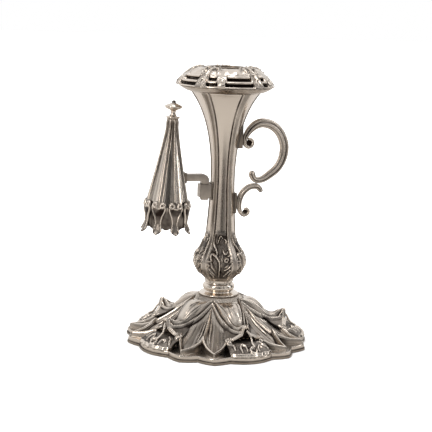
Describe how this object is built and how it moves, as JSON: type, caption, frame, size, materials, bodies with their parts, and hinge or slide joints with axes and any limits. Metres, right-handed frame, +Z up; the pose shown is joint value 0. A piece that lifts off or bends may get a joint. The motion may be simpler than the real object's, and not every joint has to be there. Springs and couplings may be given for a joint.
{
  "type": "chamberstick",
  "caption": "Tall silver-plated candlestick with petal base, fluted stem, lift-out nozzle and pan, scroll handle and a conical snuffer hanging from a side socket.",
  "frame": {"origin": "on the table, on the stem's axis, at the bottom centre of the whole", "axes": "+Z up along the stem, +X towards the handle, -X towards the snuffer"},
  "size_m": [0.0984, 0.0981, 0.1485],
  "materials": {
    "silver": "polished silver plate, softly worn",
    "silver_worn": "silver plate, duller where it is soldered or stands",
    "silver_dark": "tarnished silver plate inside the socket",
    "brass": "plain turned brass",
    "steel": "plain steel rod"
  },
  "bodies": {
    "stick": {"foot_rim": "silver_worn", "base_shell": "silver", "blossom_1": "silver", "blossom_2": "silver", "blossom_3": "silver", "blossom_4": "silver", "blossom_5": "silver", "base_collar": "silver", "tie_washer": "brass", "tie_nut": "brass", "tie_rod": "steel", "stem_plug": "brass", "stem_front": "silver", "stem_back": "silver", "socket_liner": "silver_dark", "handle_loop": "silver", "handle_scroll": "silver", "handle_upper_lug": "silver_worn", "handle_lower_lug": "silver_worn", "bracket_backplate": "silver_worn", "bracket_socket": "silver"},
    "nozzle": {"nozzle_cup": "silver_dark", "nozzle_underplate": "silver_worn", "nozzle_pan": "silver"},
    "snuffer": {"snuffer_cone": "silver", "snuffer_leaves": "silver", "snuffer_collar": "silver", "snuffer_knob": "silver", "snuffer_shank": "brass", "snuffer_hook": "silver", "hook_pad": "silver_worn"}
  },
  "joints": [
    {"name": "nozzle_lift", "type": "slide", "parent": "stick", "child": "nozzle", "axis": [0, 0, 1], "range_m": [0, 0.03]},
    {"name": "snuffer_lift", "type": "slide", "parent": "stick", "child": "snuffer", "axis": [0, 0, 1], "range_m": [0, 0.0088]}
  ]
}
